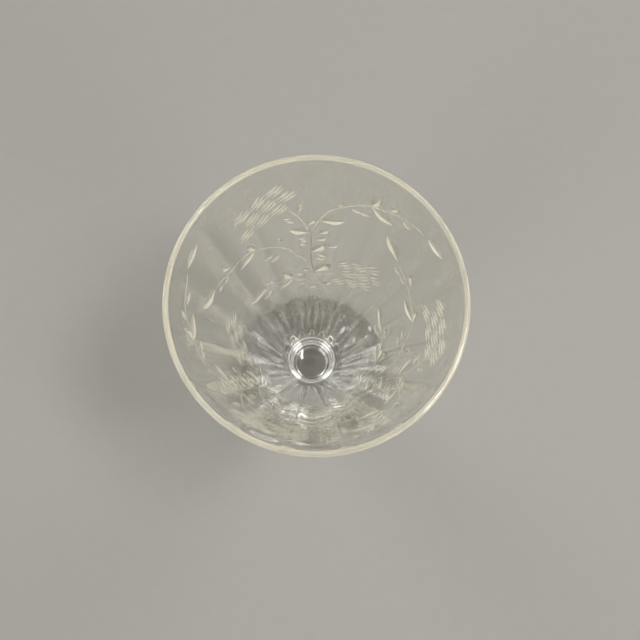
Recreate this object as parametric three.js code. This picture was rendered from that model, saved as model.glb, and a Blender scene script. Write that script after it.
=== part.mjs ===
// Footed iced tea glass: a blown conical bowl with an inside optic, a joining wafer, a ball knop and a foot.
// Millimetres, +Z up. The origin is the middle of the resting face under the foot.
import * as THREE from "three";

// Bowl sizes
const RIM_RADIUS = 43.0; // outside of the rim
const BOWL_DEPTH = 133.6; // inside, from the rim down to the middle of the floor
const RIM_WALL = 1.7; // wall at the lip
const HEEL_WALL = 3.4; // wall beside the floor
const FLOOR_RADIUS = 10.6; // inside corner between floor and wall
const FLOOR_DISH = 2.0; // how far the floor sinks from that corner to its middle
const FLOOR_FILLET = 1.6; // radial width of the rounded corner
const BOTTOM_THICKNESS = 7.0; // glass under the middle of the floor
const HEEL_ROUND = 0.3; // radial width of the rounded heel round the bowl's seat

// Optic sizes
const PANEL_COUNT = 16; // flutes round the inside of the bowl
const PANEL_DEPTH = 0.9; // how deep a flute's middle lies below the ridges beside it, where the bowl is widest
const PANEL_RIM_FADE = 12.0; // height below the lip over which the flutes die out
const PANEL_FLOOR_FADE = 9.0; // height above the floor's corner over which they die out

// Wafer and knop sizes
const WAFER_COLLAR = 2.4; // how far the wafer stands out past the bowl's seat
const WAFER_THICKNESS = 2.6;
const KNOP_RADIUS = 13.5;
const KNOP_TOP_CUT = 7.5; // height of ball lost to the joint with the wafer
const KNOP_FOOT_CUT = 3.4; // height of ball lost to the joint with the foot

// Foot sizes
const FOOT_RADIUS = 35.0;
const FOOT_EDGE = 2.4; // thickness at the rounded edge
const FOOT_HEIGHT = 9.0; // resting face up to the knop
const FOOT_FLARE = 3.4; // height above the edge at which the neck's sweep turns outwards
const FOOT_REST_WIDTH = 8.0; // flat resting ring inside the edge round
const FOOT_HOLLOW = 1.4; // rise of the shallow hollow under the foot

// Facets
const STEPS_PER_PANEL = 6;
const STEM_STEPS = 48;
const FOOT_STEPS = 60;
const WALL_RINGS = 6;
const FADE_RINGS = 2;
const CURVE_STEPS = 4;
const ROUND_STEPS = 6;
const SWEEP_STEPS = 7;
const BALL_STEPS = 10;

// Heights and radii that follow from the sizes
const wallSteps = PANEL_COUNT * STEPS_PER_PANEL;
const knopTopSeat = ballSeatRadius(KNOP_TOP_CUT);
const knopFootSeat = ballSeatRadius(KNOP_FOOT_CUT);
const knopMiddleZ = FOOT_HEIGHT + KNOP_RADIUS - KNOP_FOOT_CUT;
const waferBottomZ = knopMiddleZ + KNOP_RADIUS - KNOP_TOP_CUT;
const bowlBottomZ = waferBottomZ + WAFER_THICKNESS;
const floorZ = bowlBottomZ + BOTTOM_THICKNESS;
const floorCornerZ = floorZ + FLOOR_DISH;
const rimZ = floorZ + BOWL_DEPTH;
const lipZ = rimZ - RIM_WALL / 2;
const heelSlope = (RIM_RADIUS - FLOOR_RADIUS - HEEL_WALL) / (lipZ - floorCornerZ);
const heelRadius = outerRadius(bowlBottomZ);
const bowlSeat = heelRadius - HEEL_ROUND;

// Radius of the flat left when a cap of this height is taken off the ball.
function ballSeatRadius(capHeight) {
  return Math.sqrt(2 * KNOP_RADIUS * capHeight - capHeight ** 2);
}

// Outside of the straight cone at a height.
function outerRadius(z) {
  return FLOOR_RADIUS + HEEL_WALL + heelSlope * (z - floorCornerZ);
}

// Inside of the cone on the ridges between the flutes.
function innerRadius(z) {
  const climb = (z - floorCornerZ) / (lipZ - floorCornerZ);
  return FLOOR_RADIUS + climb * (RIM_RADIUS - RIM_WALL - FLOOR_RADIUS);
}

// Smooth step from 0 to 1 as a value runs from 0 to its span.
function easeIn(value, span) {
  return THREE.MathUtils.smoothstep(value, 0, span);
}

// How far a flute sinks into the wall at an angle and a height. A flute's middle is at angle 0. The flutes
// grow shallower towards the floor, where they are narrower.
function fluteDepth(angle, z) {
  const turns = (angle / (2 * Math.PI)) * PANEL_COUNT;
  const across = 2 * (turns - Math.round(turns));
  const fade = easeIn(z - floorCornerZ, PANEL_FLOOR_FADE) * easeIn(lipZ - z, PANEL_RIM_FADE);
  const spread = Math.sqrt(innerRadius(z) / innerRadius(lipZ));
  return PANEL_DEPTH * spread * fade * (1 - across ** 2);
}

// Turns a profile of radius and height about +Z.
function turned(profile, steps) {
  const geometry = new THREE.LatheGeometry(profile, steps);
  geometry.rotateX(Math.PI / 2);
  return geometry;
}

// Points of a quadratic curve, without its first point.
function bend(from, corner, to, steps) {
  return new THREE.QuadraticBezierCurve(from, corner, to).getPoints(steps).slice(1);
}

// Points of an arc about a centre, both ends included.
function arc(x, y, radius, startAngle, endAngle, steps) {
  const clockwise = endAngle < startAngle;
  return new THREE.EllipseCurve(x, y, radius, radius, startAngle, endAngle, clockwise).getPoints(steps);
}

const point = (x, y) => new THREE.Vector2(x, y);

// Heights of the rings down the inside of the wall, close together where the flutes die out.
function wallHeights(top, bottom) {
  const upper = top - PANEL_RIM_FADE;
  const lower = bottom + PANEL_FLOOR_FADE;
  const heights = [];
  const span = (from, to, steps) => {
    for (let i = 0; i < steps; i++) {
      heights.push(THREE.MathUtils.lerp(from, to, (i + 1) / steps));
    }
  };
  span(top, upper, FADE_RINGS);
  span(upper, lower, WALL_RINGS);
  span(lower, bottom, FADE_RINGS);
  return heights;
}

// Outside of the bowl: its seat, the rounded heel, and the cone up to the lip.
function bowlOutside() {
  const seatEdge = point(bowlSeat, bowlBottomZ);
  const heelTopZ = bowlBottomZ + HEEL_ROUND;
  const heelTop = point(outerRadius(heelTopZ), heelTopZ);
  const heel = bend(seatEdge, point(heelRadius, bowlBottomZ), heelTop, CURVE_STEPS);
  return [point(0, bowlBottomZ), seatEdge, ...heel];
}

// Lip: a half round from the outside of the wall over to the inside.
function bowlLip() {
  return arc(RIM_RADIUS - RIM_WALL / 2, lipZ, RIM_WALL / 2, 0, Math.PI, ROUND_STEPS);
}

// Floor: the rounded corner and the dish, from the wall in to the axis.
function bowlFloor() {
  const dishRadius = (FLOOR_RADIUS ** 2 + FLOOR_DISH ** 2) / (2 * FLOOR_DISH);
  const dishEdge = FLOOR_RADIUS - FLOOR_FILLET;
  const dishZ = (radius) => floorZ + dishRadius - Math.sqrt(dishRadius ** 2 - radius ** 2);
  const filletTopZ = floorCornerZ + FLOOR_FILLET;
  const filletTop = point(innerRadius(filletTopZ), filletTopZ);
  const filletEnd = point(dishEdge, dishZ(dishEdge));
  const fillet = bend(filletTop, point(FLOOR_RADIUS, floorCornerZ), filletEnd, CURVE_STEPS);
  const points = [filletTop, ...fillet];
  for (let i = CURVE_STEPS - 1; i >= 0; i--) {
    const radius = (dishEdge * i) / CURVE_STEPS;
    points.push(point(radius, dishZ(radius)));
  }
  return points;
}

// Blown bowl. The rings of the inside wall are pushed out into the flutes after turning.
function bowlGeometry() {
  const outside = bowlOutside();
  const lip = bowlLip();
  const floor = bowlFloor();
  const wall = wallHeights(lipZ, floor[0].y).map((z) => point(innerRadius(z), z));
  wall.pop();
  const profile = [...outside, ...lip, ...wall, ...floor];
  const firstWallPoint = outside.length + lip.length;
  const geometry = new THREE.LatheGeometry(profile, wallSteps);
  const position = geometry.attributes.position;
  for (let step = 0; step <= wallSteps; step++) {
    const angle = (step / wallSteps) * 2 * Math.PI;
    for (let i = 0; i < wall.length; i++) {
      const vertex = step * profile.length + firstWallPoint + i;
      const z = wall[i].y;
      const radius = wall[i].x + fluteDepth(angle, z);
      position.setXYZ(vertex, radius * Math.sin(angle), z, radius * Math.cos(angle));
    }
  }
  geometry.rotateX(Math.PI / 2);
  geometry.computeVertexNormals();
  return geometry;
}

// Joining wafer: a disc with a full round edge.
function waferGeometry() {
  const round = WAFER_THICKNESS / 2;
  const flat = bowlSeat + WAFER_COLLAR - round;
  const edge = arc(flat, waferBottomZ + round, round, -Math.PI / 2, Math.PI / 2, ROUND_STEPS);
  return turned([point(0, waferBottomZ), ...edge, point(0, bowlBottomZ)], STEM_STEPS);
}

// Ball knop: a ball with a flat above and below where it is joined.
function knopGeometry() {
  const from = -Math.acos(knopFootSeat / KNOP_RADIUS);
  const to = Math.acos(knopTopSeat / KNOP_RADIUS);
  const side = arc(0, knopMiddleZ, KNOP_RADIUS, from, to, BALL_STEPS);
  side[0].set(knopFootSeat, FOOT_HEIGHT);
  side[BALL_STEPS].set(knopTopSeat, waferBottomZ);
  return turned([point(0, FOOT_HEIGHT), ...side, point(0, waferBottomZ)], STEM_STEPS);
}

// Foot: a shallow hollow, the flat resting ring, the rounded edge, and a sweep up to the knop.
function footGeometry() {
  const round = FOOT_EDGE / 2;
  const restOuter = FOOT_RADIUS - round;
  const restInner = point(restOuter - FOOT_REST_WIDTH, 0);
  const hollowTop = point(0, FOOT_HOLLOW);
  const hollowSide = bend(hollowTop, point(restInner.x / 2, FOOT_HOLLOW), restInner, CURVE_STEPS);
  const hollow = [hollowTop, ...hollowSide];
  const edge = arc(restOuter, round, round, -Math.PI / 2, Math.PI / 2, ROUND_STEPS);
  const edgeTop = edge[edge.length - 1];
  const neck = point(knopFootSeat, FOOT_HEIGHT);
  const sweep = bend(edgeTop, point(knopFootSeat, FOOT_EDGE + FOOT_FLARE), neck, SWEEP_STEPS);
  return turned([...hollow, ...edge, ...sweep, point(0, FOOT_HEIGHT)], FOOT_STEPS);
}

// Clear soda glass, a little warm in the thicker pieces.
function clearGlass(color, roughness) {
  return new THREE.MeshStandardMaterial({ color, roughness, metalness: 0, transparent: true, opacity: 0.35 });
}

function piece(name, geometry, material) {
  const mesh = new THREE.Mesh(geometry, material);
  mesh.name = name;
  return mesh;
}

const glass = new THREE.Group();
glass.add(piece("bowl", bowlGeometry(), clearGlass(0xf4f3ec, 0.03)));
glass.add(piece("joining_wafer", waferGeometry(), clearGlass(0xf2f1e6, 0.04)));
glass.add(piece("ball_knop", knopGeometry(), clearGlass(0xf2f1e6, 0.04)));
glass.add(piece("foot", footGeometry(), clearGlass(0xf3f2e9, 0.05)));

export default glass;
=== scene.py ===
"""Looks of a clear footed iced tea glass: a blown, panelled and cut bowl on a stem and a foot."""
import math
from collections import namedtuple

import bmesh
import bpy
import numpy as np
from bpy.props import FloatProperty, FloatVectorProperty, IntProperty, PointerProperty
from mathutils import Matrix, Vector, noise
from mathutils.geometry import delaunay_2d_cdt


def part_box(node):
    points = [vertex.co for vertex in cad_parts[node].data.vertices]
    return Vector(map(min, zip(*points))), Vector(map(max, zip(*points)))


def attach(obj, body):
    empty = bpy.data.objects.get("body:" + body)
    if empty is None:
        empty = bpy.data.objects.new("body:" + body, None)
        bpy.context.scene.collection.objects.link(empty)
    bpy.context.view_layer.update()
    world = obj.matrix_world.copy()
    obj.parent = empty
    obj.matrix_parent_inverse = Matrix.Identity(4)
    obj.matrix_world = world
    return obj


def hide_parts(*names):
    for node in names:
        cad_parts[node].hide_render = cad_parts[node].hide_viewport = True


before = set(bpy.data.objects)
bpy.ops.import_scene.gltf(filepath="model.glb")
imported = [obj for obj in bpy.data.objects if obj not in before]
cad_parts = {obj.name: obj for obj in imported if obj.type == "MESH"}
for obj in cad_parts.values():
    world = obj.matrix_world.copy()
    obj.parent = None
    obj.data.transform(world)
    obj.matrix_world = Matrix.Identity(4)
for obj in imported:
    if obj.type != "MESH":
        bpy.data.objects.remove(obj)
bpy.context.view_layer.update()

bl_info = {
    "name": "Iced Tea Glass",
    "version": (1, 0, 0),
    "blender": (4, 5, 0),
    "location": "View3D > Sidebar > Iced Tea Glass",
    "description": "Builds a footed iced tea glass with a panelled bowl and cut leaf sprays",
    "category": "Add Mesh",
}

MM = 0.001
SODA_IOR = 1.52
NEAREST_SEEN = 10 * MM

# Finishes of the bowl's, the stem's and the foot's faces, in the order of their materials. The bowl's cut is
# one grey finish, split into a painted lit copy and a painted shaded copy.
CLEAR, LIP, PAINTED_LIT_CUT, PAINTED_SHADED_CUT, JOINT = range(5)
STEM_CLEAR, STEM_JOINT = range(2)
FOOT_CLEAR, FOOT_WORN, FOOT_JOINT = range(3)

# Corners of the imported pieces, in metres
BOWL_LOW, BOWL_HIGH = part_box("bowl")
WAFER_LOW, WAFER_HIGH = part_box("joining_wafer")
KNOP_LOW, KNOP_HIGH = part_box("ball_knop")
FOOT_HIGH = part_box("foot")[1]

# Facets
BOWL_COLUMNS = 384
STEM_COLUMNS = 160
FLOOR_COLUMNS = 96
CONE_ROWS = 32
INSIDE_ROWS = 52
SEAT_ROWS = 3
REST_ROWS = 4
JOINT_ROWS = 1
COLLAR_ROWS = 2
CURVE_STEPS = 12
LEAF_STATIONS = 12
STEM_STATION = 1.1 * MM
FEWEST_STATIONS = 4
SPLINE_STEPS = 40
BOWL_CREASE = math.radians(14)
STEM_CREASE = math.radians(40)

# Closeness, in metres
ON_AXIS = 1e-9
WELD = 0.002 * MM
ON_CONE = 0.001 * MM
INSIDE_CUT = 0.004 * MM
CLEAR_OF_CUTS = 0.3 * MM

# How the cone's plan is split into triangles. It is drawn in millimetres, points this close become one, and
# the whole hull is filled.
PLAN_WELD = 1e-5
FILL_HULL = 0

# The cut spray, as it is seen from inside the bowl. A stem's knots are degrees round the bowl and
# millimetres up from the table. A leaf starts at a share of its stem, a gap away from it, to its left (1) or
# right (-1) as it grows, and leans off it by some degrees. A blossom is a brickwork of leaning petals about
# its middle, and a gang wheel cuts each petal as a bundle of fine lines side by side.
LEFT, RIGHT = 1, -1
Stem = namedtuple("Stem", "knots leaves")
Leaf = namedtuple("Leaf", "share side length lean gap")
Blossom = namedtuple("Blossom", "turn height rise lean spacing pitch length")

MAIN_STEM = Stem(
    knots=((22, 79), (12, 83), (3, 90.5), (-1.5, 101.5), (-2.5, 112), (-2.5, 122), (-6, 130.5), (-14, 142)),
    leaves=(
        Leaf(0.13, RIGHT, 4.3, 65, 1.0),
        Leaf(0.27, LEFT, 3.6, 38, 4.2),
        Leaf(0.28, RIGHT, 10.0, 45, 0.2),
        Leaf(0.30, LEFT, 3.6, 33, 2.2),
        Leaf(0.45, RIGHT, 4.2, 95, 1.6),
        Leaf(0.49, RIGHT, 4.6, 105, 2.2),
        Leaf(0.50, RIGHT, 9.0, 40, 0.2),
        Leaf(0.58, RIGHT, 4.0, 55, 6.5),
        Leaf(0.58, LEFT, 3.6, 50, 1.6),
        Leaf(0.64, RIGHT, 4.6, 60, 2.0),
        Leaf(0.64, LEFT, 2.8, 75, 1.4),
        Leaf(0.67, LEFT, 2.8, 75, 2.0),
        Leaf(0.70, RIGHT, 4.6, 60, 3.2),
        Leaf(0.72, LEFT, 8.0, 48, 0.2),
        Leaf(0.80, RIGHT, 4.2, 62, 0.6),
        Leaf(0.86, LEFT, 3.6, 40, 2.0),
        Leaf(0.91, LEFT, 2.8, 60, 2.2),
        Leaf(0.93, RIGHT, 3.5, 50, 1.2),
        Leaf(0.97, RIGHT, 3.2, 60, 2.2),
    ),
)
RIGHT_TENDRIL = Stem(
    knots=((-2.5, 125), (3, 133.5), (8.5, 139.5), (16, 143.5), (28, 148.5), (42, 152.5), (57, 156)),
    leaves=(
        Leaf(0.15, RIGHT, 9.0, 53, 0.5),
        Leaf(0.36, LEFT, 3.2, 38, 0.8),
        Leaf(0.42, RIGHT, 4.2, 35, 1.6),
        Leaf(0.47, RIGHT, 4.2, 30, 3.2),
        Leaf(0.60, LEFT, 7.4, 44, 0.2),
        Leaf(0.60, RIGHT, 9.2, 46, 0.2),
        Leaf(0.72, LEFT, 4.0, 28, 1.2),
        Leaf(0.80, RIGHT, 4.2, 28, 1.4),
        Leaf(1.0, RIGHT, 8.2, 12, 0.0),
    ),
)
UPPER_LEFT_TENDRIL = Stem(
    knots=(
        *((-1.8, 100.5), (-11, 109.5), (-18, 115.5), (-28, 121)),
        *((-38, 125.5), (-49, 127.3), (-60, 128.5), (-72, 132)),
    ),
    leaves=(
        Leaf(0.32, LEFT, 4.8, 62, 4.2),
        Leaf(0.40, LEFT, 4.0, 42, 4.2),
        Leaf(0.42, RIGHT, 2.6, 40, 3.2),
        Leaf(0.46, RIGHT, 2.6, 85, 3.6),
        Leaf(0.60, LEFT, 9.0, 46, 0.2),
        Leaf(0.61, RIGHT, 5.6, 36, 0.5),
        Leaf(0.82, RIGHT, 5.0, 42, 2.4),
        Leaf(0.83, LEFT, 3.4, 18, 1.5),
        Leaf(0.90, LEFT, 3.4, 15, 2.4),
        Leaf(1.0, RIGHT, 10.4, 10, 0.0),
    ),
)
LOWER_LEFT_TENDRIL = Stem(
    knots=((9, 84.5), (-2, 87.3), (-9, 90), (-18, 92.3), (-28, 94), (-41, 95.2)),
    leaves=(
        Leaf(0.06, LEFT, 4.4, 40, 2.2),
        Leaf(0.26, LEFT, 3.0, 40, 1.8),
        Leaf(0.56, RIGHT, 8.1, 36, 0.3),
        Leaf(0.56, LEFT, 7.4, 52, 0.8),
        Leaf(0.86, RIGHT, 3.6, 40, 2.2),
        Leaf(0.90, LEFT, 5.0, 15, 3.4),
        Leaf(0.94, LEFT, 4.2, 12, 5.0),
        Leaf(0.95, RIGHT, 3.2, 38, 2.6),
        Leaf(1.0, RIGHT, 10.0, 4, 0.0),
    ),
)
BLOSSOM_STALK = Stem(knots=((2, 93), (9, 94.2), (17, 97.5)), leaves=())
STEMS = (MAIN_STEM, RIGHT_TENDRIL, UPPER_LEFT_TENDRIL, LOWER_LEFT_TENDRIL, BLOSSOM_STALK)
BLOSSOMS = (
    Blossom(turn=-26, height=145.5, rise=21, lean=38, spacing=6.8, pitch=5.55, length=8.2),
    Blossom(turn=36, height=103.5, rise=40, lean=47, spacing=6.8, pitch=7.1, length=8.2),
)
BLOSSOM_ROWS = 3
BLOSSOM_COLUMNS = 3
PETAL_LINES = 3
LINE_PITCH = 1.5
LINE_WIDTH = 1.4
# A stem cut reaches its full width this share of its length from each end.
STEM_TAPER = 0.08
# A cut's side counts as looking up when its normal leans this far up the cone. Sides that look up get the
# painted lit copy of the grey cut, the rest get the painted shaded copy.
PAINTED_LIT_LEAN = 0.06
# The sprays were set out round the bowl by eye, so they aren't quite even.
SPRAY_TURNS = (0, 125, 230)


def linear(hex_colour):
    """Turns an sRGB hex colour into linear red, green and blue."""
    channels = [int(hex_colour[i : i + 2], 16) / 255 for i in (1, 3, 5)]
    return [c / 12.92 if c <= 0.04045 else ((c + 0.055) / 1.055) ** 2.4 for c in channels]


def kind_of_property(kind, convert, **limits):
    """A function that makes settings of one kind, each from its name, its description and its default."""

    def setting(name, description, default):
        return kind(name=name, description=description, default=convert(default), **limits)

    return setting


# Kinds of settings. Lengths are given in metres, angles in degrees and colours as sRGB hex values.
length_property = kind_of_property(FloatProperty, float, min=0, unit="LENGTH", precision=5)
count_property = kind_of_property(IntProperty, int, min=0)
angle_property = kind_of_property(FloatProperty, math.radians, subtype="ANGLE")
share_property = kind_of_property(FloatProperty, float, min=0, max=1, subtype="FACTOR")
power_property = kind_of_property(FloatProperty, float, min=0, unit="POWER")
colour_property = kind_of_property(FloatVectorProperty, linear, size=3, min=0, max=1, subtype="COLOR")


class BowlSettings(bpy.types.PropertyGroup):
    """Sizes and finish of the blown bowl"""

    rim_wall: length_property("Rim wall", "Thickness of the wall at the lip", 1.7 * MM)
    heel_wall: length_property("Heel wall", "Thickness of the wall beside the floor", 3.4 * MM)
    floor_radius: length_property("Floor radius", "Inside corner between floor and wall", 10.6 * MM)
    floor_dish: length_property("Floor dish", "How far the floor sinks to its middle", 2.0 * MM)
    floor_fillet: length_property("Floor fillet", "Radial width of the rounded corner", 1.6 * MM)
    bottom_thickness: length_property("Bottom thickness", "Glass under the middle of the floor", 7.0 * MM)
    heel_round: length_property("Heel round", "Radial width of the round at the seat", 0.3 * MM)
    panel_count: count_property("Panels", "Flutes round the inside", 16)
    panel_depth: length_property("Panel depth", "Depth of a flute where the bowl is widest", 0.9 * MM)
    panel_rim_fade: length_property("Rim fade", "Height over which flutes die out below the lip", 12 * MM)
    panel_floor_fade: length_property("Floor fade", "Height over which flutes die out at the floor", 9 * MM)
    ridge_round: share_property("Ridge round", "Share of a half panel that a ridge is rounded over", 0.07)
    waver: length_property("Waver", "Unevenness that blowing leaves on the inside", 0.05 * MM)
    waver_length: length_property("Waver length", "Distance from one swell to the next", 14 * MM)
    tint: colour_property("Tint", "Colour of light that has passed through the wall", "#FDFCF7")
    # The lip's cream colour and its milky share are painted light: a glow that stands in for light carried
    # along the wall and reflected round the rim.
    lip_painted_glow: colour_property("Lip tint", "Colour of the painted-glow lip", "#F8F2DC")
    lip_clearness: share_property("Lip clearness", "Share of the light that the lip lets through", 0.62)


class CutSettings(bpy.types.PropertyGroup):
    """Sizes of the wheel cuts on the outside of the bowl"""

    wheel_slope: angle_property("Wheel slope", "Slope of each side of a mitre cut", 16)
    stem_width: length_property("Stem width", "Width of a stem cut", 0.62 * MM)
    leaf_width: length_property("Leaf width", "Width that every leaf has at least", 0.5 * MM)
    leaf_swell: share_property("Leaf swell", "Share of a leaf's length that is added to its width", 0.44)
    grey: colour_property("Cut grey", "Colour of the cut, unpolished glass", "#FAF5E4")
    # The two shares below make a painted lit copy and a painted shaded copy of one grey cut: sides that look
    # up scatter brightly as painted light, sides that look down let less through as painted shade.
    haze: share_property("Haze", "Share of the light that the upper side of a cut scatters", 0.95)
    clearness: share_property("Clearness", "Share of the light that the under side lets through", 0.4)


class StemSettings(bpy.types.PropertyGroup):
    """Sizes and finish of the joining wafer and the ball knop"""

    knop_radius: length_property("Knop radius", "Radius of the ball", 13.5 * MM)
    top_cut: length_property("Top cut", "Height of ball lost to the joint with the wafer", 7.5 * MM)
    foot_cut: length_property("Foot cut", "Height of ball lost to the joint with the foot", 3.4 * MM)
    tint: colour_property("Tint", "Colour of light that has passed through the stem", "#FDFCF8")


class FootSettings(bpy.types.PropertyGroup):
    """Sizes and finish of the foot"""

    edge: length_property("Edge", "Thickness at the rounded edge", 2.4 * MM)
    flare: length_property("Flare", "Height above the edge at which the sweep turns out", 3.4 * MM)
    rest_width: length_property("Rest width", "Width of the flat resting ring", 8.0 * MM)
    hollow: length_property("Hollow", "Rise of the hollow underneath", 1.4 * MM)
    tint: colour_property("Tint", "Colour of light that has passed through the foot", "#FDFCF9")


class StageSettings(bpy.types.PropertyGroup):
    """Floor, light and camera"""

    floor_colour: colour_property("Floor", "Colour of the paper floor", "#A9A6A0")
    horizon_colour: colour_property("Horizon", "Colour of the paper sweep level with the glass", "#DEDDD9")
    zenith_colour: colour_property("Zenith", "Colour of the room overhead", "#3A3A3C")
    floor_radius: length_property("Floor radius", "Where the floor has run into the sweep", 1.0)
    floor_clear: length_property("Floor clear", "Where the floor starts to run into the sweep", 0.3)
    floor_drop: length_property("Floor drop", "Gap between the foot and the paper", 0.1 * MM)
    sweep_climb: share_property("Sweep climb", "Sine of the height where the sweep starts to darken", 0.4)
    zenith_climb: share_property("Zenith climb", "Sine of the height where it has the zenith's colour", 0.95)
    softbox_distance: length_property("Softbox distance", "Every softbox to the middle of the bowl", 1.1)
    key_power: power_property("Key power", "Power of the overhead softbox", 2.2)
    key_size: length_property("Key size", "Side of the overhead softbox", 0.18)
    key_azimuth: angle_property("Key azimuth", "Direction of the overhead softbox, clockwise from +Y", 85)
    key_elevation: angle_property("Key elevation", "Height of the overhead softbox above level", 69.5)
    side_count: count_property("Side softboxes", "Low softboxes round the glass", 4)
    side_power: power_property("Side power", "Power of each side softbox", 2.5)
    side_size: length_property("Side size", "Side of each side softbox", 0.5)
    side_elevation: angle_property("Side elevation", "Height of the side softboxes above level", 25)
    strip_power: power_property("Strip power", "Power of the narrow softbox beside the overhead one", 2.0)
    strip_width: length_property("Strip width", "Width of the narrow softbox", 0.13)
    strip_height: length_property("Strip height", "Height of the narrow softbox", 0.3)
    strip_azimuth: angle_property("Strip azimuth", "Direction of the narrow softbox, clockwise from +Y", 105)
    strip_elevation: angle_property("Strip elevation", "Height of the narrow softbox above level", 66)
    lens: FloatProperty(name="Lens", description="Focal length", default=43.9, min=1, unit="CAMERA")
    azimuth: angle_property("Azimuth", "Direction that the camera looks in, clockwise from +Y", 7.06)
    elevation: angle_property("Elevation", "Height of the camera above level", 79.88)
    roll: angle_property("Roll", "Turn of the camera about its own line of sight", 7.17)
    distance: length_property("Distance", "Camera to its aim in the rim's plane", 216.1 * MM)
    aim: FloatVectorProperty(
        name="Aim",
        description="Where the camera aims in the rim's plane",
        default=(0.82 * MM, -5.58 * MM),
        size=2,
        unit="LENGTH",
        precision=5,
    )
    bounces: count_property("Bounces", "How often light is followed in the glass", 48)


class GlassSettings(bpy.types.PropertyGroup):
    """All settings of the glass"""

    bowl: PointerProperty(type=BowlSettings)
    cuts: PointerProperty(type=CutSettings)
    stem: PointerProperty(type=StemSettings)
    foot: PointerProperty(type=FootSettings)
    stage: PointerProperty(type=StageSettings)


# Profiles, as lists of radius and height


def bend(start, corner, end, steps):
    """Points of a quadratic curve, both ends included."""
    t = np.linspace(0, 1, steps + 1)[:, None]
    return (1 - t) ** 2 * np.array(start) + 2 * t * (1 - t) * np.array(corner) + t**2 * np.array(end)


def arc(centre, radius, start, end, steps):
    """Points of an arc about a centre, both ends included."""
    angle = np.linspace(start, end, steps + 1)
    return np.array(centre) + radius * np.column_stack((np.cos(angle), np.sin(angle)))


def straight(start, end, steps):
    """Points of a straight line, both ends included."""
    return np.linspace(np.array(start), np.array(end), steps + 1)


def joined(*runs):
    """One profile from runs that each start where the one before ends."""
    return np.vstack([runs[0]] + [run[1:] for run in runs[1:]])


class BowlShape:
    """The bowl's profile lines, worked out from the frame and the settings."""

    def __init__(self, bowl):
        self.bowl = bowl
        self.bottom = BOWL_LOW.z
        self.floor = self.bottom + bowl.bottom_thickness
        self.corner = self.floor + bowl.floor_dish
        self.corner_radius = bowl.floor_radius + bowl.heel_wall
        # The lip is a round that touches both sides of the wall, so the cone is the line from the floor's
        # corner that just touches it.
        self.lip_round = bowl.rim_wall / 2
        self.lip_middle = np.array((BOWL_HIGH.x - self.lip_round, BOWL_HIGH.z - self.lip_round))
        across, climb = self.lip_middle - (self.corner_radius, self.corner)
        self.lean = math.atan2(across, climb) + math.asin(self.lip_round / math.hypot(across, climb))
        self.slope = math.tan(self.lean)
        self.heel_radius = self.outside(self.bottom)
        self.seat = self.heel_radius - bowl.heel_round
        self.heel_top = self.bottom + bowl.heel_round
        tangent = np.array((math.cos(self.lean), -math.sin(self.lean))) * self.lip_round
        self.lip_outer = self.lip_middle + tangent
        self.lip_inner = self.lip_middle - tangent
        self.cone_low = np.array((self.outside(self.heel_top), self.heel_top))
        fillet_height = self.corner + bowl.floor_fillet
        self.fillet_top = np.array((self.inside(fillet_height), fillet_height))

    def outside(self, height):
        """Outside radius of the cone at a height."""
        return self.corner_radius + self.slope * (height - self.corner)

    def inside(self, height):
        """Inside radius on the ridges between the flutes."""
        share = (height - self.corner) / (self.lip_middle[1] - self.corner)
        return self.bowl.floor_radius + share * (BOWL_HIGH.x - self.bowl.rim_wall - self.bowl.floor_radius)

    def dish(self, radius):
        """Height of the dished floor at a radius."""
        ball = (self.bowl.floor_radius**2 + self.bowl.floor_dish**2) / (2 * self.bowl.floor_dish)
        return self.floor + ball - np.sqrt(ball**2 - radius**2)

    def heel_profile(self):
        """Seat and heel, from the middle underneath up to the cone."""
        seat_edge = (self.seat, self.bottom)
        return joined(
            straight((0, self.bottom), seat_edge, SEAT_ROWS),
            bend(seat_edge, (self.heel_radius, self.bottom), self.cone_low, CURVE_STEPS),
        )

    def inside_profile(self):
        """Lip, inside wall and floor, from the top of the cone over to the middle of the floor."""
        dish_edge = self.bowl.floor_radius - self.bowl.floor_fillet
        dish_end = (dish_edge, self.dish(dish_edge))
        radii = np.linspace(dish_edge, 0, CURVE_STEPS + 1)
        return joined(
            arc(self.lip_middle, self.lip_round, -self.lean, math.pi - self.lean, CURVE_STEPS),
            straight(self.lip_inner, self.fillet_top, INSIDE_ROWS),
            bend(self.fillet_top, (self.bowl.floor_radius, self.corner), dish_end, CURVE_STEPS),
            np.column_stack((radii, self.dish(radii))),
        )

    def flute(self, turn, height):
        """How far the inside wall is pushed out into a flute at a turn and a height."""
        bowl = self.bowl
        panels = turn / math.tau * bowl.panel_count
        across = np.abs(2 * (panels - np.round(panels)))
        round_share = bowl.ridge_round
        from_ridge = np.sqrt((1 - across) ** 2 + round_share**2) - round_share
        fade = ease((height - self.corner) / bowl.panel_floor_fade)
        fade = fade * ease((self.lip_middle[1] - height) / bowl.panel_rim_fade)
        spread = np.sqrt(self.inside(height) / self.inside(self.lip_middle[1]))
        return bowl.panel_depth * spread * fade * (1 - (1 - from_ridge) ** 2)


def around(radius, turn, height):
    """Points at a radius and a height, at turns clockwise from +Y."""
    return np.column_stack(np.broadcast_arrays(radius * np.sin(turn), radius * np.cos(turn), height))


def polar(points):
    """Radii and turns of points."""
    return np.hypot(points[..., 0], points[..., 1]), np.arctan2(points[..., 0], points[..., 1])


def ease(value):
    """Smooth step from 0 to 1."""
    t = np.clip(value, 0, 1)
    return t * t * (3 - 2 * t)


# Meshes


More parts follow.
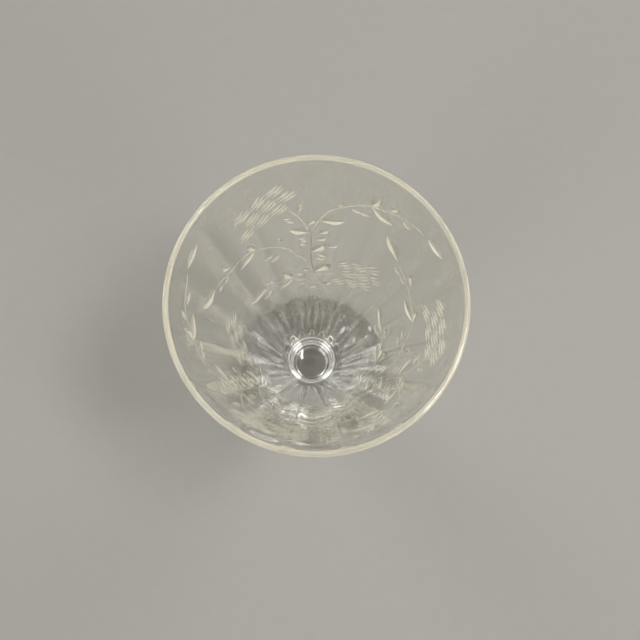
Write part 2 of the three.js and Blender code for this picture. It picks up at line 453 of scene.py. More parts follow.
def turned(profile, columns):
    """Points, faces and their bands of a profile turned about +Z, with one point where it meets the axis."""
    turn = np.arange(columns) / columns * math.tau
    points, rings = [], []
    for radius, height in profile:
        first = len(points)
        if radius < ON_AXIS:
            points.append((0, 0, height))
            rings.append([first] * columns)
        else:
            points.extend(around(radius, turn, height))
            rings.append(list(range(first, first + columns)))
    faces, bands = [], []
    for band, (low, high) in enumerate(zip(rings, rings[1:])):
        for i in range(columns):
            j = (i + 1) % columns
            corners = [low[i], high[i], high[j], low[j]]
            faces.append(tuple(dict.fromkeys(corners)))
            bands.append(band)
    return np.array(points), faces, np.array(bands)


def piece_object(name, points, faces, materials, face_materials, crease, seamless=()):
    """A closed mesh object with its outside facing out. It is smooth but for edges that bend more than the
    crease, and edges between two finishes that aren't both seamless."""
    mesh = bpy.data.meshes.new(name)
    mesh.from_pydata([tuple(p) for p in points], [], faces)
    for material in materials:
        mesh.materials.append(material)
    mesh.polygons.foreach_set("material_index", np.array(face_materials, dtype=np.int32))
    mesh.polygons.foreach_set("use_smooth", np.ones(len(faces), dtype=bool))
    joined_mesh = bmesh.new()
    joined_mesh.from_mesh(mesh)
    bmesh.ops.remove_doubles(joined_mesh, verts=joined_mesh.verts, dist=WELD)
    bmesh.ops.recalc_face_normals(joined_mesh, faces=joined_mesh.faces)
    open_edges = [edge for edge in joined_mesh.edges if not edge.is_manifold]
    if open_edges:
        raise RuntimeError(f"{name} isn't closed: {len(open_edges)} open edges")
    for edge in joined_mesh.edges:
        one, other = edge.link_faces
        pair = {one.material_index, other.material_index}
        edge.smooth = (len(pair) == 1 or pair <= set(seamless)) and edge.calc_face_angle() < crease
    joined_mesh.to_mesh(mesh)
    joined_mesh.free()
    mesh.update()
    piece = bpy.data.objects.new(name, mesh)
    bpy.context.scene.collection.objects.link(piece)
    return piece


def seat_piece(piece, node):
    """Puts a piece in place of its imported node."""
    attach(piece, "root")
    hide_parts(node)


# The cut spray


class Sheet:
    """The cone's outside rolled flat, with +Y up the middle of a spray and the cone's tip at the origin."""

    def __init__(self, shape):
        self.lean = shape.lean
        self.tip = shape.corner - shape.corner_radius / shape.slope

    def flat(self, turn, height):
        """Points on the sheet at turns in radians and heights."""
        reach = (height - self.tip) / math.cos(self.lean)
        swing = turn * math.sin(self.lean)
        return np.stack((reach * np.sin(swing), reach * np.cos(swing)), axis=-1)

    def rolled(self, points):
        """Turns and heights of points on the sheet."""
        reach, swing = polar(points)
        return swing / math.sin(self.lean), self.tip + reach * math.cos(self.lean)


class LensCut:
    """A straight mitre cut, pointed at both ends."""

    def __init__(self, start, heading, length, width):
        self.start = np.array(start)
        self.along = heading_way(heading)
        self.length = length
        self.width = width

    def lines(self):
        """The outline's two sides and the middle line, from end to end."""
        share = np.linspace(0, 1, LEAF_STATIONS + 1)
        middle = self.start + np.outer(share * self.length, self.along)
        across = np.array((-self.along[1], self.along[0]))
        swell = np.outer(self.width / 2 * np.sin(math.pi * share), across)
        return middle + swell, middle, middle - swell

    def clearance(self, points):
        """How far points lie inside the outline, and below 0 outside."""
        offset = points - self.start
        along = offset @ self.along
        across = np.abs(offset[..., 1] * self.along[0] - offset[..., 0] * self.along[1])
        share = np.clip(along / self.length, 0, 1)
        past = np.abs(along - share * self.length)
        return self.width / 2 * np.sin(math.pi * share) - across - past


class StemCut:
    """A thin mitre cut along a curve, running out at both ends."""

    def __init__(self, middle, width):
        self.middle = middle
        share = np.linspace(0, 1, len(middle))
        self.half = width / 2 * ease(np.minimum(share, 1 - share) / STEM_TAPER)

    def lines(self):
        """The outline's two sides and the middle line, from end to end."""
        run = np.gradient(self.middle, axis=0)
        run /= np.linalg.norm(run, axis=1)[:, None]
        across = np.column_stack((-run[:, 1], run[:, 0])) * self.half[:, None]
        return self.middle + across, self.middle, self.middle - across

    def clearance(self, points):
        """How far points lie inside the outline, and below 0 outside."""
        best = np.full(len(points), -np.inf)
        for i, (start, end) in enumerate(zip(self.middle, self.middle[1:])):
            run = end - start
            share = np.clip((points - start) @ run / (run @ run), 0, 1)
            away = np.linalg.norm(points - start - share[:, None] * run, axis=1)
            half = self.half[i] + share * (self.half[i + 1] - self.half[i])
            best = np.maximum(best, half - away)
        return best


def grown_line(knots, station):
    """A smooth curve through knots on the sheet, with even stations."""
    knots = np.vstack((2 * knots[0] - knots[1], knots, 2 * knots[-1] - knots[-2]))
    t = np.linspace(0, 1, SPLINE_STEPS, endpoint=False)[:, None]
    spans = []
    for a, b, c, d in zip(knots, knots[1:], knots[2:], knots[3:]):
        turn = 2 * a - 5 * b + 4 * c - d
        twist = 3 * (b - c) + d - a
        spans.append(b + t / 2 * (c - a + t * (turn + t * twist)))
    line = np.vstack(spans + [knots[-2:-1]])
    reach = np.concatenate(([0], np.cumsum(np.linalg.norm(np.diff(line, axis=0), axis=1))))
    even = np.linspace(0, reach[-1], max(FEWEST_STATIONS, round(reach[-1] / station)) + 1)
    return np.column_stack([np.interp(even, reach, line[:, axis]) for axis in (0, 1)])


def spray_cuts(sheet, cuts):
    """Every cut of one spray, on the sheet."""
    made = []
    for stem in STEMS:
        turn, height = np.array(stem.knots, dtype=float).T
        middle = grown_line(sheet.flat(np.radians(turn), height * MM), STEM_STATION)
        made.append(StemCut(middle, cuts.stem_width))
        for leaf in stem.leaves:
            made.append(leaf_cut(middle, leaf, cuts))
    for blossom in BLOSSOMS:
        made.extend(blossom_cuts(sheet, blossom))
    return made


def leaf_cut(middle, leaf, cuts):
    """The lens cut of one leaf beside its stem."""
    last = len(middle) - 1
    station = round(leaf.share * last)
    root = middle[station]
    before = min(station, last - 1)
    run = middle[before + 1] - middle[before]
    stem_heading = math.atan2(run[1], run[0])
    start = root + leaf.gap * MM * heading_way(stem_heading + leaf.side * math.pi / 2)
    heading = stem_heading + leaf.side * math.radians(leaf.lean)
    length = leaf.length * MM
    return LensCut(start, heading, length, cuts.leaf_width + cuts.leaf_swell * length)


def blossom_cuts(sheet, blossom):
    """The brickwork of gang-cut petals of one blossom."""
    middle = sheet.flat(math.radians(blossom.turn), blossom.height * MM)
    level = math.atan2(middle[1], middle[0]) - math.pi / 2
    along = heading_way(level + math.radians(blossom.rise))
    uphill = heading_way(level + math.pi / 2)
    made = []
    for row in range(BLOSSOM_ROWS):
        # Every other row is set half a petal along, as bricks are.
        shift = (row % 2 - 0.5) / 2
        climb = (row - (BLOSSOM_ROWS - 1) / 2) * blossom.pitch
        for column in range(BLOSSOM_COLUMNS):
            step = (column - (BLOSSOM_COLUMNS - 1) / 2 + shift) * blossom.spacing
            petal = middle + (step * along + climb * uphill) * MM
            made.extend(petal_cuts(petal, level + math.radians(blossom.lean), blossom.length))
    return made


def petal_cuts(petal, heading, petal_length):
    """The fine lines of one petal, side by side, longest in its middle."""
    along = heading_way(heading)
    across = heading_way(heading + math.pi / 2)
    half_width = PETAL_LINES * LINE_PITCH / 2
    made = []
    for line in range(PETAL_LINES):
        aside = (line - (PETAL_LINES - 1) / 2) * LINE_PITCH
        length = petal_length * math.sqrt(1 - (aside / half_width) ** 2)
        start = petal + (aside * across - length / 2 * along) * MM
        made.append(LensCut(start, heading, length * MM, LINE_WIDTH * MM))
    return made


def heading_way(heading):
    """The way of a heading on the sheet, one unit long."""
    return np.array((math.cos(heading), math.sin(heading)))


class CutCone:
    """The outside of the cone with the sprays cut into it, as a mesh patch."""

    def __init__(self, shape, cuts):
        self.shape = shape
        self.sheet = Sheet(shape)
        self.cuts = spray_cuts(self.sheet, cuts)
        self.turns = np.radians(SPRAY_TURNS)
        self.fall = math.tan(cuts.wheel_slope)
        self.plan_points = []
        self.plan_edges = []

    def clearance(self, turn, height):
        """How far places on the cone lie inside the nearest cut, and below 0 outside all cuts."""
        best = np.full(len(turn), -np.inf)
        for spray in self.turns:
            swing = (turn - spray + math.pi) % math.tau - math.pi
            points = self.sheet.flat(swing, height)
            for cut in self.cuts:
                best = np.maximum(best, cut.clearance(points))
        return best

    def add_points(self, turn, height):
        """Sets places on the plan, which is the cone seen from above, in millimetres."""
        places = around(self.shape.outside(height) / MM, turn, height)
        self.plan_points.extend(Vector(p) for p in places[:, :2])

    def add_line(self, turn, height, closed=False):
        """Draws a line of places on the plan."""
        first = len(self.plan_points)
        self.add_points(turn, height)
        last = len(self.plan_points) - 1
        self.plan_edges.extend((i, i + 1) for i in range(first, last))
        if closed:
            self.plan_edges.append((last, first))

    def draw_plan(self):
        """Draws the two end rings, the cuts of every spray and loose points between them."""
        columns = np.arange(BOWL_COLUMNS) / BOWL_COLUMNS * math.tau
        low, high = self.shape.heel_top, self.shape.lip_outer[1]
        for height in (low, high):
            self.add_line(columns, np.full(BOWL_COLUMNS, height), closed=True)
        for spray in self.turns:
            for cut in self.cuts:
                for line in cut.lines():
                    turn, height = self.sheet.rolled(line)
                    self.add_line(turn + spray, height)
        heights = np.linspace(low, high, CONE_ROWS + 1)[1:-1]
        turn = np.concatenate([columns + (row % 2) * math.pi / BOWL_COLUMNS for row in range(len(heights))])
        height = np.repeat(heights, BOWL_COLUMNS)
        loose = self.clearance(turn, height) < -CLEAR_OF_CUTS
        self.add_points(turn[loose], height[loose])

    def build(self):
        """Points, faces and the finish of each face; each cut side gets a painted lit or a painted shaded
        copy of one grey finish.
        """
        self.draw_plan()
        drawing = (self.plan_points, self.plan_edges, [])
        split = delaunay_2d_cdt(*drawing, FILL_HULL, PLAN_WELD, False)
        plan = np.array([tuple(p) for p in split[0]]) * MM
        faces = np.array(split[2])
        inner = self.shape.outside(self.shape.heel_top) * math.cos(math.pi / BOWL_COLUMNS)
        faces = faces[np.linalg.norm(plan[faces].mean(axis=1), axis=1) > inner]
        turn, height = self.places(plan)
        depth = np.maximum(self.clearance(turn, height), 0) * self.fall
        lean = self.shape.lean
        radius = self.shape.outside(height) - depth * math.cos(lean)
        points = around(radius, turn, height + depth * math.sin(lean))
        turn, height = self.places(plan[faces].mean(axis=1))
        is_cut = self.clearance(turn, height) > INSIDE_CUT
        # Cut sides that look up get the painted lit copy of the grey cut, the rest get the painted shaded
        # copy.
        grey = self.climb(points[faces], turn) > PAINTED_LIT_LEAN
        finish = np.where(is_cut, np.where(grey, PAINTED_LIT_CUT, PAINTED_SHADED_CUT), CLEAR)
        return points, [tuple(f) for f in faces], finish

    def climb(self, triangles, turn):
        """How far each triangle's outward normal leans up the cone at its turn."""
        one, two, three = (triangles[:, i] for i in range(3))
        normal = np.cross(two - one, three - one)
        normal *= np.sign((normal[:, :2] * one[:, :2]).sum(axis=1))[:, None]
        size = np.linalg.norm(normal, axis=1)
        uphill = around(math.sin(self.shape.lean), turn, math.cos(self.shape.lean))
        return (normal * uphill).sum(axis=1) / np.maximum(size, np.finfo(float).tiny)

    def places(self, plan):
        """Turns and heights of points on the plan."""
        radius, turn = polar(plan)
        return turn, self.shape.corner + (radius - self.shape.corner_radius) / self.shape.slope


# Materials

# A grain is a noise about as wide as its marks. Where the noise runs from low to high, the roughness runs
# from smooth to rough.
Grain = namedtuple("Grain", "width detail low high smooth rough")

# Places of the Mix node's colours among its sockets, where names occur more than once
MIX_START, MIX_END, MIX_RESULT = 6, 7, 2


def add_node(tree, kind, inputs, **settings):
    """Adds a node with its settings, and sets its inputs to values or links them to other nodes."""
    node = tree.nodes.new(kind)
    for name, value in settings.items():
        setattr(node, name, value)
    for socket, value in inputs.items():
        if isinstance(value, bpy.types.NodeSocket):
            tree.links.new(value, node.inputs[socket])
        else:
            node.inputs[socket].default_value = value
    return node


def new_material(name):
    """An empty node material and its tree."""
    material = bpy.data.materials.new(name)
    material.use_nodes = True
    material.node_tree.nodes.clear()
    return material, material.node_tree


def grained(tree, grain):
    """A grain's noise, and the roughness that follows it."""
    place = add_node(tree, "ShaderNodeTexCoord", {}).outputs["Object"]
    scale = {"Vector": place, "Scale": 1 / grain.width, "Detail": grain.detail}
    marks = add_node(tree, "ShaderNodeTexNoise", scale).outputs["Fac"]
    reach = {"Value": marks, "From Min": grain.low, "From Max": grain.high}
    spread = {"To Min": grain.smooth, "To Max": grain.rough}
    return marks, add_node(tree, "ShaderNodeMapRange", reach | spread).outputs["Result"]


def soda_inputs(tint, roughness, clearness):
    """What the shader of every soda glass is set to."""
    surface = {"Base Color": (*tint, 1), "Roughness": roughness}
    return surface | {"IOR": SODA_IOR, "Transmission Weight": clearness}


def clear_glass(name, tint, cord_width, cord_height):
    """Soda glass smooth from the fire: clear and sharp, with faint cords and a film of wiping marks."""
    material, tree = new_material(name)
    _, film = grained(tree, Grain(width=2.5 * MM, detail=4, low=0.45, high=0.8, smooth=0, rough=0.03))
    place = add_node(tree, "ShaderNodeTexCoord", {}).outputs["Object"]
    cords = add_node(tree, "ShaderNodeTexNoise", {"Vector": place, "Scale": 1 / cord_width, "Detail": 2})
    bump = add_node(tree, "ShaderNodeBump", {"Height": cords.outputs["Fac"], "Distance": cord_height})
    inputs = soda_inputs(tint, film, 1) | {"Normal": bump.outputs["Normal"]}
    glass = add_node(tree, "ShaderNodeBsdfPrincipled", inputs)
    add_node(tree, "ShaderNodeOutputMaterial", {"Surface": glass.outputs["BSDF"]})
    return material


def lip_glass_with_painted_glow(tint, clearness):
    """The lip: a little milky and warm, with faint streaks. The milky cream is painted light, a glow
    standing in for light carried up inside the wall and reflected round the rim.
    """
    material, tree = new_material("painted-glow soda glass lip")
    _, streaks = grained(tree, Grain(width=3 * MM, detail=2, low=0.3, high=0.7, smooth=0.05, rough=0.25))
    lip = add_node(tree, "ShaderNodeBsdfPrincipled", soda_inputs(tint, streaks, clearness))
    add_node(tree, "ShaderNodeOutputMaterial", {"Surface": lip.outputs["BSDF"]})
    return material


def grey_cut_glass(name, tint, clearness, haze_share):
    """Soda glass ground by a stone wheel and left grey: it scatters light and keeps fine grinding pits. Its
    haze share and clearness make it the painted lit or the painted shaded copy of the cut.
    """
    material, tree = new_material(name)
    # The wheel's grit leaves pits of about 0.05 mm, drawn at 0.25 mm so that they show.
    pit_depth = 0.01 * MM
    grit, rough = grained(tree, Grain(width=0.25 * MM, detail=3, low=0.3, high=0.7, smooth=0.3, rough=0.5))
    bump = add_node(tree, "ShaderNodeBump", {"Height": grit, "Distance": pit_depth})
    pits = {"Normal": bump.outputs["Normal"]}
    glass = add_node(tree, "ShaderNodeBsdfPrincipled", soda_inputs(tint, rough, clearness) | pits)
    haze = add_node(tree, "ShaderNodeBsdfTranslucent", {"Color": (*tint, 1)} | pits)
    sides = {1: glass.outputs["BSDF"], 2: haze.outputs["BSDF"]}
    ground = add_node(tree, "ShaderNodeMixShader", {"Fac": haze_share} | sides)
    add_node(tree, "ShaderNodeOutputMaterial", {"Surface": ground.outputs["Shader"]})
    return material


def worn_glass(tint):
    """The foot's resting ring: soda glass dulled by years of standing on tables, with fine scratches."""
    material, tree = new_material("worn soda glass")
    # Real scratches are finer than a tenth of a millimetre; these are drawn at 0.6 mm so that they show.
    _, wear = grained(tree, Grain(width=0.6 * MM, detail=6, low=0.35, high=0.65, smooth=0.02, rough=0.14))
    glass = add_node(tree, "ShaderNodeBsdfPrincipled", soda_inputs(tint, wear, 1))
    add_node(tree, "ShaderNodeOutputMaterial", {"Surface": glass.outputs["BSDF"]})
    return material


def fused_joint():
    """The face where two pieces were joined hot: the glass runs on through it, so nothing of it shows."""
    name = "fused soda glass joint"
    if name in bpy.data.materials:
        return bpy.data.materials[name]
    material, tree = new_material(name)
    clear = add_node(tree, "ShaderNodeBsdfTransparent", {"Color": (1, 1, 1, 1)})
    add_node(tree, "ShaderNodeOutputMaterial", {"Surface": clear.outputs["BSDF"]})
    return material


def floor_paper(stage):
    """A roll of matt background paper: pale and even, with a faint felt, running into its sweep."""
    material, tree = new_material("matt background paper")
    place = add_node(tree, "ShaderNodeTexCoord", {}).outputs["Object"]
    felt_width, felt_contrast = 6 * MM, 0.03
    felt = add_node(tree, "ShaderNodeTexNoise", {"Vector": place, "Scale": 1 / felt_width, "Detail": 5})
    dark = [c * (1 - felt_contrast) for c in stage.floor_colour]
    light = [min(c * (1 + felt_contrast), 1) for c in stage.floor_colour]
    shades = {"Factor": felt.outputs["Fac"], MIX_START: (*dark, 1), MIX_END: (*light, 1)}
    colour = add_node(tree, "ShaderNodeMix", shades, data_type="RGBA").outputs[MIX_RESULT]
    paper = add_node(tree, "ShaderNodeBsdfPrincipled", {"Base Color": colour, "Roughness": 0.85})
    clear = add_node(tree, "ShaderNodeBsdfTransparent", {})
    reach = add_node(tree, "ShaderNodeVectorMath", {0: place}, operation="LENGTH")
    span = {"Value": reach.outputs["Value"], "From Min": stage.floor_clear, "From Max": stage.floor_radius}
    run_out = add_node(tree, "ShaderNodeMapRange", span, interpolation_type="SMOOTHSTEP")
    sides = {1: paper.outputs["BSDF"], 2: clear.outputs["BSDF"]}
    edge = add_node(tree, "ShaderNodeMixShader", {"Fac": run_out.outputs["Result"]} | sides)
    add_node(tree, "ShaderNodeOutputMaterial", {"Surface": edge.outputs["Shader"]})
    return material


# Operators


class GLASS_OT_bowl(bpy.types.Operator):
    """Builds the blown bowl with its panelled inside and the sprays cut into its outside"""

    bl_idname = "iced_tea_glass.bowl"
    bl_label = "Bowl"

    def execute(self, context):
        settings = context.scene.iced_tea_glass
        shape = BowlShape(settings.bowl)
        cone_points, cone_faces, cone_finish = CutCone(shape, settings.cuts).build()
        heel_points, heel_faces, heel_bands = turned(shape.heel_profile(), BOWL_COLUMNS)
        inside_points, inside_faces, inside_bands = turned(shape.inside_profile(), BOWL_COLUMNS)
        inside_points = self.blown(inside_points, shape)
        points = np.vstack((cone_points, heel_points, inside_points))
        faces = list(cone_faces)
        faces.extend(tuple(i + len(cone_points) for i in f) for f in heel_faces)
        faces.extend(tuple(i + len(cone_points) + len(heel_points) for i in f) for f in inside_faces)
        finishes = np.concatenate(
            (
                cone_finish,
                np.where(heel_bands < SEAT_ROWS, JOINT, CLEAR),
                np.where(inside_bands < CURVE_STEPS, LIP, CLEAR),
            )
        )
        bowl, cuts = settings.bowl, settings.cuts
        materials = [
            clear_glass("blown clear soda glass", bowl.tint, cord_width=7 * MM, cord_height=0.004 * MM),
            # The lip gets a painted glow: milky cream in place of the light it carries.
            lip_glass_with_painted_glow(bowl.lip_painted_glow, bowl.lip_clearness),
            # One grey cut drawn twice: a painted lit copy full of haze and a painted shaded copy that lets
            # less through.
            grey_cut_glass("wheel-cut soda glass, grey with painted light", cuts.grey, clearness=1, haze_share=cuts.haze),
            grey_cut_glass("wheel-cut soda glass, grey with painted shade", cuts.grey, cuts.clearness, haze_share=0),
            fused_joint(),
        ]
        piece = piece_object("cut_bowl", points, faces, materials, finishes, BOWL_CREASE, (CLEAR, LIP))
        self.true_cone(piece.data, shape)
        seat_piece(piece, "bowl")
        return {"FINISHED"}

    def blown(self, points, shape):
        """Pushes the inside wall out into its flutes and lets it waver a little, as blown glass does."""
        radius, turn = polar(points)
        height = points[:, 2]
        on_wall = (height < shape.lip_inner[1] - WELD) & (height > shape.fillet_top[1] + WELD)
        on_wall &= radius < shape.outside(height) - shape.lip_round
        fade = ease((shape.lip_middle[1] - height) / shape.bowl.panel_rim_fade)
        fade = fade * ease((height - shape.fillet_top[1]) / shape.bowl.panel_floor_fade)
        swells = np.array([noise.noise(Vector(p) / shape.bowl.waver_length) for p in points])
        push = np.where(on_wall, shape.flute(turn, height) + swells * shape.bowl.waver * fade, 0)
        return points + around(push, turn, 0)

    def true_cone(self, mesh, shape):
        """Gives the uncut outside the cone's own normals, so that no facet shows between the cuts."""
        corner_vertices = np.zeros(len(mesh.loops), dtype=np.int32)
        mesh.loops.foreach_get("vertex_index", corner_vertices)
        co = np.zeros(len(mesh.vertices) * 3, dtype=np.float32)
        mesh.vertices.foreach_get("co", co)
        co = co.reshape(-1, 3).astype(float)
        radius, turn = polar(co)
        on_cone = np.abs(radius - shape.outside(co[:, 2])) < ON_CONE
        uncut = np.zeros(len(mesh.loops), dtype=bool)
        for face in mesh.polygons:
            if face.material_index == CLEAR and all(on_cone[v] for v in face.vertices):
                uncut[list(face.loop_indices)] = True
        normals = around(math.cos(shape.lean), turn[corner_vertices], -math.sin(shape.lean))
        normals[~uncut] = 0
        mesh.normals_split_custom_set([tuple(n) for n in normals])


class GLASS_OT_wafer(bpy.types.Operator):
    """Builds the joining wafer, a small disc with a full round edge"""

    bl_idname = "iced_tea_glass.wafer"
    bl_label = "Joining wafer"

    def execute(self, context):
        settings = context.scene.iced_tea_glass
        seat = BowlShape(settings.bowl).seat
        edge_round = (WAFER_HIGH.z - WAFER_LOW.z) / 2
        flat = WAFER_HIGH.x - edge_round
        knop_seat = knop_seats(settings.stem)[1]
        profile = joined(
            straight((0, WAFER_LOW.z), (knop_seat, WAFER_LOW.z), JOINT_ROWS),
            straight((knop_seat, WAFER_LOW.z), (flat, WAFER_LOW.z), COLLAR_ROWS),
            arc((flat, WAFER_LOW.z + edge_round), edge_round, -math.pi / 2, math.pi / 2, 2 * CURVE_STEPS),
            straight((flat, WAFER_HIGH.z), (seat, WAFER_HIGH.z), COLLAR_ROWS),
            straight((seat, WAFER_HIGH.z), (0, WAFER_HIGH.z), JOINT_ROWS),
        )
        stem_piece("wafer", profile, settings.stem, "joining_wafer")
        return {"FINISHED"}


class GLASS_OT_knop(bpy.types.Operator):
    """Builds the ball knop between the wafer and the foot"""

    bl_idname = "iced_tea_glass.knop"
    bl_label = "Ball knop"

    def execute(self, context):
        stem = context.scene.iced_tea_glass.stem
        low_seat, high_seat = knop_seats(stem)
        middle = (0, KNOP_LOW.z + stem.knop_radius - stem.foot_cut)
        start = -math.acos(low_seat / stem.knop_radius)
        end = math.acos(high_seat / stem.knop_radius)
        profile = joined(
            straight((0, KNOP_LOW.z), (low_seat, KNOP_LOW.z), JOINT_ROWS),
            arc(middle, stem.knop_radius, start, end, 4 * CURVE_STEPS),
            straight((high_seat, KNOP_HIGH.z), (0, KNOP_HIGH.z), JOINT_ROWS),
        )
        stem_piece("knop", profile, stem, "ball_knop")
        return {"FINISHED"}


def knop_seats(stem):
    """Radii of the knop's flat joints with the foot and with the wafer."""
    return [math.sqrt(2 * stem.knop_radius * cut - cut**2) for cut in (stem.foot_cut, stem.top_cut)]


def stem_piece(name, profile, stem, node):
    """A turned piece whose first and last rows are fused joints."""
    points, faces, bands = turned(profile, STEM_COLUMNS)
    is_joint = (bands < JOINT_ROWS) | (bands > bands.max() - JOINT_ROWS)
    finishes = np.where(is_joint, STEM_JOINT, STEM_CLEAR)
    material_name = f"solid clear soda glass of the {name}"
    glass = clear_glass(material_name, stem.tint, cord_width=5 * MM, cord_height=0.002 * MM)
    piece = piece_object(f"stem_{name}", points, faces, [glass, fused_joint()], finishes, STEM_CREASE)
    seat_piece(piece, node)


class GLASS_OT_foot(bpy.types.Operator):
    """Builds the round foot with its hollow, resting ring, rounded edge and swept neck"""

    bl_idname = "iced_tea_glass.foot"
    bl_label = "Foot"

    def execute(self, context):
        settings = context.scene.iced_tea_glass
        foot = settings.foot
        neck = knop_seats(settings.stem)[0]
        edge_round = foot.edge / 2
        rest_outer = FOOT_HIGH.x - edge_round
        rest_inner = rest_outer - foot.rest_width
        hollow = bend((0, foot.hollow), (rest_inner / 2, foot.hollow), (rest_inner, 0), 2 * CURVE_STEPS)
        rest = straight((rest_inner, 0), (rest_outer, 0), REST_ROWS)
        edge = arc((rest_outer, edge_round), edge_round, -math.pi / 2, math.pi / 2, 2 * CURVE_STEPS)
        turn_out = (neck, foot.edge + foot.flare)
        sweep = bend((rest_outer, foot.edge), turn_out, (neck, FOOT_HIGH.z), 4 * CURVE_STEPS)
        joint = straight((neck, FOOT_HIGH.z), (0, FOOT_HIGH.z), JOINT_ROWS)
        points, faces, bands = turned(joined(hollow, rest, edge, sweep, joint), STEM_COLUMNS)
        first_rest = len(hollow) - 1
        is_rest = (bands >= first_rest) & (bands < first_rest + REST_ROWS)
        is_joint = bands > bands.max() - JOINT_ROWS
        finishes = np.where(is_rest, FOOT_WORN, np.where(is_joint, FOOT_JOINT, FOOT_CLEAR))
        materials = [
            clear_glass("cast clear soda glass", foot.tint, cord_width=6 * MM, cord_height=0.003 * MM),
            worn_glass(foot.tint),
            fused_joint(),
        ]
        piece = piece_object("round_foot", points, faces, materials, finishes, STEM_CREASE)
        seat_piece(piece, "foot")
        return {"FINISHED"}


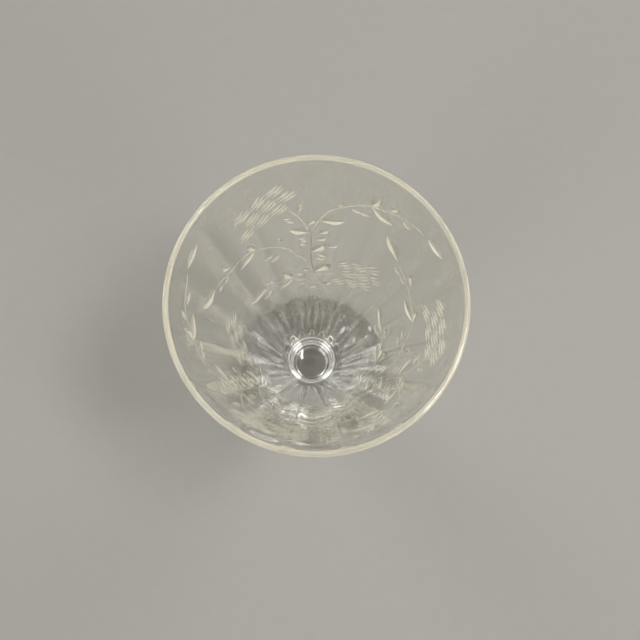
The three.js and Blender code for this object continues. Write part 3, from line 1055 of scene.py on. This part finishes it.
class GLASS_OT_stage(bpy.types.Operator):
    """Lays the paper floor, hangs the softboxes, colours the room and places the camera"""

    bl_idname = "iced_tea_glass.stage"
    bl_label = "Stage"

    def execute(self, context):
        stage = context.scene.iced_tea_glass.stage
        self.lay_floor(stage)
        self.colour_room(context.scene, stage)
        self.hang_softboxes(stage)
        self.place_camera(context.scene, stage)
        context.scene.view_settings.view_transform = "Standard"
        self.follow_light(context.scene.cycles, stage.bounces)
        return {"FINISHED"}

    def follow_light(self, cycles, bounces):
        """Follows light on its long zigzag way down inside the wall, so that the lip doesn't turn black."""
        cycles.max_bounces = bounces
        cycles.glossy_bounces = bounces
        cycles.transmission_bounces = bounces
        cycles.transparent_max_bounces = bounces

    def lay_floor(self, stage):
        """A wide round sheet of paper just under the foot."""
        height = -stage.floor_drop
        points, faces, _ = turned(((0, height), (stage.floor_radius, height)), FLOOR_COLUMNS)
        mesh = bpy.data.meshes.new("paper_floor")
        mesh.from_pydata([tuple(p) for p in points], [], [f[::-1] for f in faces])
        mesh.materials.append(floor_paper(stage))
        floor = bpy.data.objects.new("paper_floor", mesh)
        bpy.context.scene.collection.objects.link(floor)

    def colour_room(self, scene, stage):
        """The room's walls, pale at the horizon and darker overhead."""
        world = bpy.data.worlds.new("studio_room")
        world.use_nodes = True
        tree = world.node_tree
        tree.nodes.clear()
        way = add_node(tree, "ShaderNodeTexCoord", {}).outputs["Generated"]
        climb = add_node(tree, "ShaderNodeSeparateXYZ", {"Vector": way}).outputs["Z"]
        span = {"Value": climb, "From Min": stage.sweep_climb, "From Max": stage.zenith_climb}
        share = add_node(tree, "ShaderNodeMapRange", span, interpolation_type="SMOOTHSTEP").outputs["Result"]
        ends = {MIX_START: (*stage.horizon_colour, 1), MIX_END: (*stage.zenith_colour, 1)}
        colour = add_node(tree, "ShaderNodeMix", {"Factor": share} | ends, data_type="RGBA")
        room = add_node(tree, "ShaderNodeBackground", {"Color": colour.outputs[MIX_RESULT]})
        add_node(tree, "ShaderNodeOutputWorld", {"Surface": room.outputs["Background"]})
        scene.world = world

    def hang_softboxes(self, stage):
        """One softbox overhead with a narrow one beside it, and low ones all round."""
        key = self.hang_softbox("overhead_softbox", stage, stage.key_azimuth, stage.key_elevation)
        key.size = key.size_y = stage.key_size
        key.energy = stage.key_power
        for i in range(stage.side_count):
            azimuth = (i + 0.5) / stage.side_count * math.tau
            side = self.hang_softbox(f"side_softbox_{i + 1}", stage, azimuth, stage.side_elevation)
            side.size = side.size_y = stage.side_size
            side.energy = stage.side_power
        strip = self.hang_softbox("strip_softbox", stage, stage.strip_azimuth, stage.strip_elevation)
        strip.size, strip.size_y = stage.strip_width, stage.strip_height
        strip.energy = stage.strip_power

    def hang_softbox(self, name, stage, azimuth, elevation):
        """The lamp of a softbox that faces the middle of the bowl. Its azimuth runs clockwise from +Y."""
        aim = Vector((0, 0, (BOWL_LOW.z + BOWL_HIGH.z) / 2))
        way = Vector(around(math.cos(elevation), azimuth, math.sin(elevation))[0])
        lamp = bpy.data.lights.new(name, "AREA")
        lamp.shape = "RECTANGLE"
        softbox = bpy.data.objects.new(name, lamp)
        softbox.location = aim + way * stage.softbox_distance
        softbox.rotation_euler = (-way).to_track_quat("-Z", "Y").to_euler()
        softbox.visible_camera = False
        bpy.context.scene.collection.objects.link(softbox)
        return lamp

    def place_camera(self, scene, stage):
        """The camera above the rim, turned about its line of sight so that +X lies level in the picture."""
        forward = Vector(around(math.cos(stage.elevation), stage.azimuth, -math.sin(stage.elevation))[0])
        level = Vector((math.cos(stage.azimuth), -math.sin(stage.azimuth), 0))
        upright = level.cross(forward)
        right = level * math.cos(stage.roll) + upright * math.sin(stage.roll)
        up = right.cross(forward)
        aim = Vector((*stage.aim, BOWL_HIGH.z))
        turn = Matrix((right, up, -forward)).transposed().to_4x4()
        lens = bpy.data.cameras.new("camera")
        lens.lens = stage.lens
        lens.clip_start = NEAREST_SEEN
        camera = bpy.data.objects.new("camera", lens)
        camera.matrix_world = Matrix.Translation(aim - forward * stage.distance) @ turn
        scene.collection.objects.link(camera)
        scene.camera = camera


class GLASS_PT_panel(bpy.types.Panel):
    """Lists the settings and the pieces of the glass"""

    bl_idname = "GLASS_PT_panel"
    bl_label = "Iced Tea Glass"
    bl_space_type = "VIEW_3D"
    bl_region_type = "UI"
    bl_category = "Iced Tea Glass"

    def draw(self, context):
        settings = context.scene.iced_tea_glass
        for group, operators in (
            (settings.bowl, (GLASS_OT_bowl,)),
            (settings.cuts, ()),
            (settings.stem, (GLASS_OT_wafer, GLASS_OT_knop)),
            (settings.foot, (GLASS_OT_foot,)),
            (settings.stage, (GLASS_OT_stage,)),
        ):
            box = self.layout.box()
            for name in group.__annotations__:
                box.prop(group, name)
            for operator in operators:
                box.operator(operator.bl_idname)


CLASSES = (
    BowlSettings,
    CutSettings,
    StemSettings,
    FootSettings,
    StageSettings,
    GlassSettings,
    GLASS_OT_bowl,
    GLASS_OT_wafer,
    GLASS_OT_knop,
    GLASS_OT_foot,
    GLASS_OT_stage,
    GLASS_PT_panel,
)


def register():
    """Adds the classes and hangs the settings on the scene."""
    for each in CLASSES:
        bpy.utils.register_class(each)
    bpy.types.Scene.iced_tea_glass = PointerProperty(type=GlassSettings)


def unregister():
    """Takes the settings and the classes away again."""
    del bpy.types.Scene.iced_tea_glass
    for each in reversed(CLASSES):
        bpy.utils.unregister_class(each)


def main():
    """Builds every piece and the stage."""
    register()
    bpy.ops.iced_tea_glass.bowl()
    bpy.ops.iced_tea_glass.wafer()
    bpy.ops.iced_tea_glass.knop()
    bpy.ops.iced_tea_glass.foot()
    bpy.ops.iced_tea_glass.stage()


if __name__ == "__main__":
    main()
